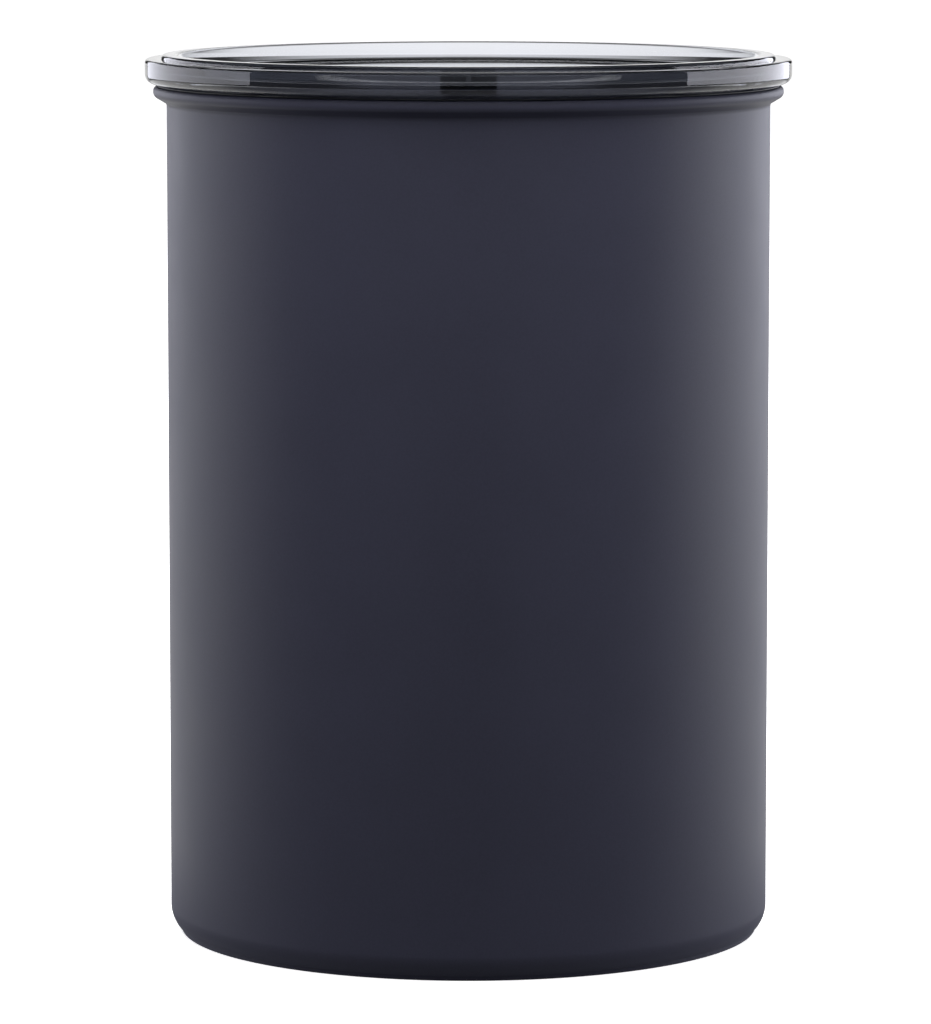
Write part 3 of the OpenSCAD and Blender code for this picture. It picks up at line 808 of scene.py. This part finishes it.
class CANISTER_OT_inner_lid(Build):
    """Finishes of the inner lid: plate, wiper, bracket, screws and pins"""

    bl_idname = "canister.inner_lid"
    bl_label = "Inner lid"

    def execute(self, context):
        colours = context.scene.canister_finishes
        shade = tuple(colours.plastic)
        dressed("inner_lid_plate", moulded("plate_plastic", shade, 0.42, 0.45 * MM, 0.02 * MM))
        dressed("hinge_bracket", moulded("bracket_plastic", shade, 0.36, 0.35 * MM, 0.012 * MM))
        dressed("wiper_gasket", silicone("wiper_silicone", tuple(colours.wiper), 0.5))
        steel = drawn_wire("turned_steel", tuple(colours.screw))
        dressed("bracket_screws", steel)
        dressed("hinge_pins", steel)
        return {"FINISHED"}


class CANISTER_OT_handle(Build):
    """Finish of the pull handle"""

    bl_idname = "canister.handle"
    bl_label = "Handle"

    def execute(self, context):
        shade = tuple(context.scene.canister_finishes.handle)
        dressed("pull_handle", moulded("handle_plastic", shade, 0.34, 0.4 * MM, 0.01 * MM))
        return {"FINISHED"}


class CANISTER_OT_valve(Build):
    """Valve stem, disc, seal and clip, and the spring

    The coil is (coil_r cos t, coil_r sin t, z(t)), where z climbs slowly in both end turns.
    """

    bl_idname = "canister.valve"
    bl_label = "Valve"

    def execute(self, context):
        colours = context.scene.canister_finishes
        size = context.scene.canister_spring_sizes
        steel = drawn_wire("valve_steel", tuple(colours.screw))
        dressed("valve_stem", steel)
        dressed("valve_disc", steel)
        dressed("valve_seal", silicone("valve_silicone", tuple(colours.clear_seal), 0.4, 0.35))
        wire = drawn_wire("spring_wire", tuple(colours.spring))
        dressed("stem_clip", wire)
        low = SPRING_BOX[0].z + size.wire_r
        high = SPRING_BOX[1].z - size.wire_r
        share = np.linspace(0, 1, int(size.turns * COIL_STEPS) + 1)
        closed = 0.16
        climb = 0.07
        rise = np.interp(share, [0, closed, 1 - closed, 1], [0, climb, 1 - climb, 1])
        turn = share * size.turns * TURN
        path = np.stack([
            size.coil_r * np.cos(turn), size.coil_r * np.sin(turn), low + (high - low) * rise,
        ], 1)
        coil = swept("valve_coil", path, size.wire_r)
        coil = placed(coil, "inner_lid", [wire], "valve_spring")
        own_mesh(coil)
        return {"FINISHED"}


def softbox(name, where, wide, high, power, tone=WHITE, aim=(0, 0, 0.09)):
    """A rectangular lamp that looks at a point, by default the canister's middle."""
    lamp = bpy.data.lights.new(name, "AREA")
    lamp.color = tone
    lamp.shape = "RECTANGLE"
    lamp.size = wide
    lamp.size_y = high
    lamp.energy = power
    holder = linked(name, lamp)
    holder.location = where
    away = Vector(aim) - Vector(where)
    holder.rotation_euler = away.to_track_quat("-Z", "Y").to_euler()
    holder.visible_camera = False
    holder.visible_transmission = False
    return holder


# Half the floor's side, and how far the floor lies under the canister's foot
FLOOR_HALF = 6.0
FLOOR_SUNK = 0.05 * MM
# Inside this radius the floor is clear, except to the camera
FOOTPRINT_R = 57 * MM
# The floor's brightest glow, and the strength that the shader gives it
GLOW_PEAK = 1.3
GLOW_STRENGTH = 1.04
# Colour of the floor as clear parts see it: a painted shade, far darker than the floor is to the camera
THROUGH_SHADE = (0.03, 0.03, 0.03)

# Changes of the glow over the floor: from and to, in metres, and the values there. To reflections and
# clear parts the glow is painted light.
# As the camera sees it, with the distance
PLAIN_FAR = (0.25, 1.2, 1.0, 1.3)
# As reflections see it, with the distance, and close round the foot: a painted reflection, dim near the
# canister as painted shade, and a painted pool of light round the foot
MIRROR_FAR = (0.5, 2.2, 0.03, 1.15)
MIRROR_CLOSE = (0.09, 0.16, 0.3, 0.0)
# Painted reflections at the flanks: with the way aside, with the distance, and dimmer in front of a
# sloping line
FLANK_SIDE = (0.05, 0.13, 0.0, 1.15)
FLANK_END = (0.9, 1.2, 1.0, 0.0)
FLANK_FRONT = (-0.1, 0.05, 0.2, 1.0)
FLANK_SLOPE = 0.15
# The front half, and its middle, whose painted reflection is brighter than its sides
FRONT_HALF = (-0.1, 0.1, 1.0, 0.0)
FRONT_MIDDLE = (-1.0, 0.6, 1.0, 0.35)
# The edge of the painted reflection of a white sheet behind, which widens with the distance
SHEET_EDGE = (-0.02, 0.02, 1.0, 0.03)
SHEET_SLOPE = 0.36
# The painted shadow of a dark card in front, which widens with the distance, and the share of the glow
# that it leaves
CARD_SLOPE = -0.17
CARD_LEFT = 0.04
# Painted light as clear parts see it: with the way behind the canister, and with the way aside
THROUGH_BACK = (0.2, 0.42, 0.0, 1.3)
THROUGH_SIDE = (0.1, 0.4, 1.0, 0.55)

# Changes of the surroundings: from and to, in degrees round from straight behind, or up.
# The white sheet behind: its side and its top
BACK_SIDE = (9, 13)
BACK_TOP = (18, 30)
# The cloth in front: its edge, its brighter middle, the sides' share, and its fall with height
FRONT_EDGE = (90, 97)
FRONT_CENTRE = (95, 150)
FRONT_SIDES = 0.25
FRONT_HEIGHT = (8, 30)
FRONT_FALL = (0.9, 0.3)
# The dark card round the lens
LENS_CARD = (169.7, 170.3)
# Where the surroundings dim with height, and where the cloth overhead starts
DIM_HEIGHT = (30, 50)
CAP_START = (55, 70)
# What is left in the gaps between sheet and cloth, and above them
DIM_GAP = 0.04
DIM_ABOVE = 0.25

# Camera: place in metres, tilt from level in radians, focal length and shift in the
# photograph's pixels, its height in pixels, and the sensor in millimetres
CAMERA_AT = (0, -1.2057845, 0.2304764)
CAMERA_TILT = 0.1197
FOCAL_PIXELS = 5955.47
SHIFT_PIXELS = -3
PHOTO_HIGH = 1024
SENSOR = 36


class CANISTER_OT_stage(Build):
    """Pale floor, white surroundings, soft lamps and the camera"""

    bl_idname = "canister.stage"
    bl_label = "Stage"

    def execute(self, context):
        studio = context.scene.canister_studio
        self.floor(studio)
        self.surroundings(context, studio)
        self.lamps(studio)
        self.camera(context)
        context.scene.view_settings.view_transform = "Standard"
        return {"FINISHED"}

    def lamps(self, studio):
        """A softbox and an unmirrored fill on each side, and two unmirrored lamps above."""
        tone = tuple(studio.lamp)
        wide = 2.0
        high = 0.62
        fill_share = 0.85
        unmirrored = []
        for name, side, power in (("left", -1, studio.left_power), ("right", 1, studio.right_power)):
            spot = (side * 1.08, 0.62, 0.24)
            softbox(f"{name}_softbox", spot, wide, high, power * studio.sheen, tone)
            unmirrored.append(softbox(f"{name}_fill", spot, wide, high, power * fill_share, tone))
        low_front = (0, -0.05, 0.05)
        over = softbox("overhead", (0, -0.18, 0.32), 0.5, 0.24, studio.over_power, aim=low_front)
        top = softbox("top_softbox", (0, 0.25, 1.8), wide, wide, studio.top_power)
        for lamp in (*unmirrored, over, top):
            lamp.visible_glossy = False

    def floor(self, studio):
        """A broad level square, white to the camera, on which the object's shadow falls.

        Its glow is painted light that reflections see: bright far off, at the flanks and round the
        foot, dim near the canister as painted shade, and with a painted shadow of a card in front.
        Clear parts see a painted bright glow behind the canister. From below it is clear.
        """
        half = FLOOR_HALF
        corners = np.array([[-half, -half], [half, -half], [half, half], [-half, half]])
        corners = np.column_stack([corners, np.full(4, -FLOOR_SUNK)])
        no_triangles = np.zeros((0, 3), int)
        mesh = mesh_from("floor", corners, np.array([[0, 1, 2, 3]]), no_triangles, np.zeros(1))
        made, tree = material("pale_floor")
        seen = tree.ray("Camera")
        mirrored = tree.ray("Glossy")
        through = tree.ray("Transmission")
        x, y, _ = tree.parts(tree.place())
        aside = abs(x)
        reach = (x * x + y * y) ** 0.5
        # Painted reflections on the floor: a bright sheet behind and at the front's middle, bright
        # flanks and a pool round the foot, with painted shade near the canister and in a card's shadow
        ahead = tree.spread(y, *FRONT_HALF)
        middle = tree.spread(aside + y, *FRONT_MIDDLE)
        card = (aside < y * CARD_SLOPE) * ahead
        sheet = tree.spread(aside - y * SHEET_SLOPE, *SHEET_EDGE).most(ahead * middle)
        far = tree.spread(reach, *MIRROR_FAR) * sheet * (1 - card * (1 - CARD_LEFT))
        flank = tree.spread(aside, *FLANK_SIDE) * tree.spread(reach, *FLANK_END)
        flank = flank * tree.spread(y - aside * FLANK_SLOPE, *FLANK_FRONT)
        shine = far.most(flank).most(tree.spread(reach, *MIRROR_CLOSE))
        # Painted light for clear parts: a bright glow behind the canister
        back = tree.spread(y, *THROUGH_BACK) * tree.spread(aside - y, *THROUGH_SIDE)
        glow = (seen * tree.spread(reach, *PLAIN_FAR)).most(mirrored * shine).most(through * back)
        # Painted shade: to the object and to clear parts the floor is darker than to the camera
        floor_shade = tree.mix(through, tuple(studio.floor_bounce), THROUGH_SHADE)
        cool = tree.mix(mirrored * ahead, WHITE, tuple(studio.front))
        skin = tree.surface(
            Base_Color=tree.mix(seen, floor_shade, tuple(studio.floor)),
            Roughness=0.9,
            Specular_IOR_Level=0.2,
            Emission_Color=tree.mix(glow * (1 / GLOW_PEAK), BLACK, cool),
            Emission_Strength=GLOW_STRENGTH,
        )
        under = (reach < FOOTPRINT_R) * (1 - seen)
        clear = tree.add("ShaderNodeNewGeometry", out="Backfacing").most(under)
        tree.finish(tree.either(clear, skin, tree.add("ShaderNodeBsdfTransparent")))
        mesh.materials.append(made)
        piece = linked("floor", mesh)

    def surroundings(self, context, studio):
        """White to the camera.

        Reflections and clear parts see a white sheet behind, a grey front with a dark card
        round the lens, and dim gaps at the sides.
        """
        world = bpy.data.worlds.new("studio")
        context.scene.world = world
        tree = Tree(world)
        seen = tree.ray("Camera")
        inside = tree.ray("Glossy").most(tree.ray("Transmission"))
        x, y, z = tree.parts(tree.add("ShaderNodeTexCoord", out="Generated"))

        def turn(limits, low=0.0, high=1.0):
            """Change with the angle round from straight behind."""
            return tree.spread(abs(x).bearing(y), *np.radians(limits).tolist(), low, high)

        def up(limits, low=0.0, high=1.0):
            """Change with the angle above the level."""
            return tree.spread(z.rise(), *np.radians(limits).tolist(), low, high)

        back = (1 - turn(BACK_SIDE)) * (1 - up(BACK_TOP))
        ahead = turn(FRONT_EDGE)
        front = ahead * turn(FRONT_CENTRE, FRONT_SIDES)
        cloth = front * (1 - turn(LENS_CARD)) * up(FRONT_HEIGHT, *FRONT_FALL)
        sides = back.most(cloth).most(DIM_GAP)
        low = (1 - up(DIM_HEIGHT)).most(DIM_ABOVE)
        shown = (sides * low).most(up(CAP_START) * studio.zenith)
        strength = seen.most(inside * shown) + (1 - seen.most(inside)) * studio.ambient
        background = tree.nodes["Background"]
        cool = tree.mix(inside * ahead, WHITE, tuple(studio.front))
        tree.join(cool, background.inputs["Color"])
        tree.join(strength, background.inputs["Strength"])

    def camera(self, context):
        """The photograph's view, found from the circles of the rim, lip, wall and foot."""
        lens = bpy.data.cameras.new("camera")
        lens.sensor_width = SENSOR
        lens.lens = FOCAL_PIXELS / PHOTO_HIGH * SENSOR
        lens.shift_x = SHIFT_PIXELS / PHOTO_HIGH
        holder = linked("camera", lens)
        holder.location = CAMERA_AT
        holder.rotation_euler = (math.pi / 2 - CAMERA_TILT, 0, 0)
        context.scene.camera = holder


PIECES = (
    CANISTER_OT_shell,
    CANISTER_OT_base,
    CANISTER_OT_outer_lid,
    CANISTER_OT_lid_seal,
    CANISTER_OT_inner_lid,
    CANISTER_OT_handle,
    CANISTER_OT_valve,
    CANISTER_OT_stage,
)


class CANISTER_PT_panel(bpy.types.Panel):
    """Lists the canister's build steps"""

    bl_label = "Coffee canister"
    bl_idname = "CANISTER_PT_panel"
    bl_space_type = "VIEW_3D"
    bl_region_type = "UI"
    bl_category = "Canister"

    def draw(self, context):
        for piece in PIECES:
            self.layout.operator(piece.bl_idname)


SETTINGS = {
    "canister_shell_sizes": ShellSizes,
    "canister_lid_sizes": LidSizes,
    "canister_spring_sizes": SpringSizes,
    "canister_finishes": Finishes,
    "canister_studio": Studio,
}


def register():
    for group in SETTINGS.values():
        bpy.utils.register_class(group)
    for piece in PIECES:
        bpy.utils.register_class(piece)
    bpy.utils.register_class(CANISTER_PT_panel)
    for name, group in SETTINGS.items():
        setattr(bpy.types.Scene, name, bpy.props.PointerProperty(type=group))


def unregister():
    for name in SETTINGS:
        delattr(bpy.types.Scene, name)
    bpy.utils.unregister_class(CANISTER_PT_panel)
    for piece in reversed(PIECES):
        bpy.utils.unregister_class(piece)
    for group in SETTINGS.values():
        bpy.utils.unregister_class(group)


def main():
    register()
    for piece in PIECES:
        group, name = piece.bl_idname.split(".")
        getattr(getattr(bpy.ops, group), name)()


if __name__ == "__main__":
    main()
